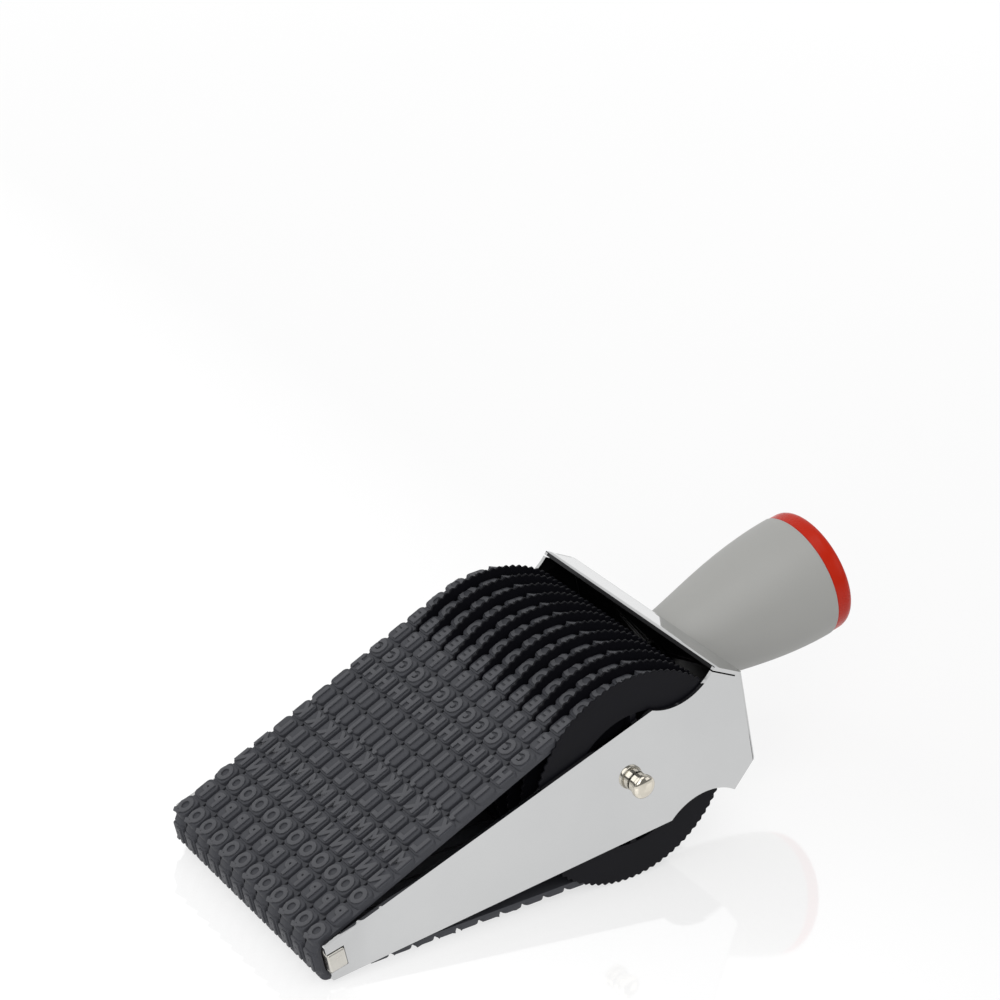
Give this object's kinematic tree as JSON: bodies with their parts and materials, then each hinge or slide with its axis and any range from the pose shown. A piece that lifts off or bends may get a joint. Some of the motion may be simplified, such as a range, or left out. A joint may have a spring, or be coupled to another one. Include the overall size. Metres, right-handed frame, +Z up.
{
  "type": "roller number stamp",
  "caption": "Hand stamp with a row of endless rubber type bands that run from thumb wheels on a common axle round a nose bar, in a bent metal bracket with a plastic handle.",
  "frame": {"origin": "on the surface that the stamp lies on, under the middle of its bounding box", "axes": "+X from the printing nose to the handle, +Y to the far arm, +Z up from the surface"},
  "size_m": [0.1794, 0.0816, 0.0684],
  "materials": {
    "bracket": "polished",
    "nose_bar": "satin",
    "axle": "satin",
    "nuts": "nickel plated",
    "handle": "fine moulded",
    "cap": "glossy",
    "handle_fixing": "black oxide",
    "bands": "matte moulded",
    "wheels": "serrated rim"
  },
  "bodies": {
    "stamp_frame": {"bracket": "bracket", "nose_bar": "nose_bar", "axle": "axle", "axle_nut_near": "nuts", "axle_nut_far": "nuts", "handle_body": "handle", "handle_cap": "cap", "handle_screw": "handle_fixing", "handle_screw_washer": "handle_fixing", "type_band_01": "bands", "type_band_02": "bands", "type_band_03": "bands", "type_band_04": "bands", "type_band_05": "bands", "type_band_06": "bands", "type_band_07": "bands", "type_band_08": "bands", "type_band_09": "bands", "type_band_10": "bands", "type_band_11": "bands", "type_band_12": "bands"},
    "wheel_01": {"number_wheel_01": "wheels"},
    "wheel_02": {"number_wheel_02": "wheels"},
    "wheel_03": {"number_wheel_03": "wheels"},
    "wheel_04": {"number_wheel_04": "wheels"},
    "wheel_05": {"number_wheel_05": "wheels"},
    "wheel_06": {"number_wheel_06": "wheels"},
    "wheel_07": {"number_wheel_07": "wheels"},
    "wheel_08": {"number_wheel_08": "wheels"},
    "wheel_09": {"number_wheel_09": "wheels"},
    "wheel_10": {"number_wheel_10": "wheels"},
    "wheel_11": {"number_wheel_11": "wheels"},
    "wheel_12": {"number_wheel_12": "wheels"}
  },
  "joints": [
    {"name": "wheel_01_turn", "type": "hinge", "parent": "stamp_frame", "child": "wheel_01", "pos_m": [0.00201, 0.03218, 0.0298], "axis": [0, 1, 0], "continuous": true},
    {"name": "wheel_02_turn", "type": "hinge", "parent": "stamp_frame", "child": "wheel_02", "pos_m": [0.00201, 0.02633, 0.0298], "axis": [0, 1, 0], "continuous": true},
    {"name": "wheel_03_turn", "type": "hinge", "parent": "stamp_frame", "child": "wheel_03", "pos_m": [0.00201, 0.02048, 0.0298], "axis": [0, 1, 0], "continuous": true},
    {"name": "wheel_04_turn", "type": "hinge", "parent": "stamp_frame", "child": "wheel_04", "pos_m": [0.00201, 0.01463, 0.0298], "axis": [0, 1, 0], "continuous": true},
    {"name": "wheel_05_turn", "type": "hinge", "parent": "stamp_frame", "child": "wheel_05", "pos_m": [0.00201, 0.00877, 0.0298], "axis": [0, 1, 0], "continuous": true},
    {"name": "wheel_06_turn", "type": "hinge", "parent": "stamp_frame", "child": "wheel_06", "pos_m": [0.00201, 0.00293, 0.0298], "axis": [0, 1, 0], "continuous": true},
    {"name": "wheel_07_turn", "type": "hinge", "parent": "stamp_frame", "child": "wheel_07", "pos_m": [0.00201, -0.00293, 0.0298], "axis": [0, 1, 0], "continuous": true},
    {"name": "wheel_08_turn", "type": "hinge", "parent": "stamp_frame", "child": "wheel_08", "pos_m": [0.00201, -0.00877, 0.0298], "axis": [0, 1, 0], "continuous": true},
    {"name": "wheel_09_turn", "type": "hinge", "parent": "stamp_frame", "child": "wheel_09", "pos_m": [0.00201, -0.01463, 0.0298], "axis": [0, 1, 0], "continuous": true},
    {"name": "wheel_10_turn", "type": "hinge", "parent": "stamp_frame", "child": "wheel_10", "pos_m": [0.00201, -0.02048, 0.0298], "axis": [0, 1, 0], "continuous": true},
    {"name": "wheel_11_turn", "type": "hinge", "parent": "stamp_frame", "child": "wheel_11", "pos_m": [0.00201, -0.02633, 0.0298], "axis": [0, 1, 0], "continuous": true},
    {"name": "wheel_12_turn", "type": "hinge", "parent": "stamp_frame", "child": "wheel_12", "pos_m": [0.00201, -0.03218, 0.0298], "axis": [0, 1, 0], "continuous": true}
  ]
}
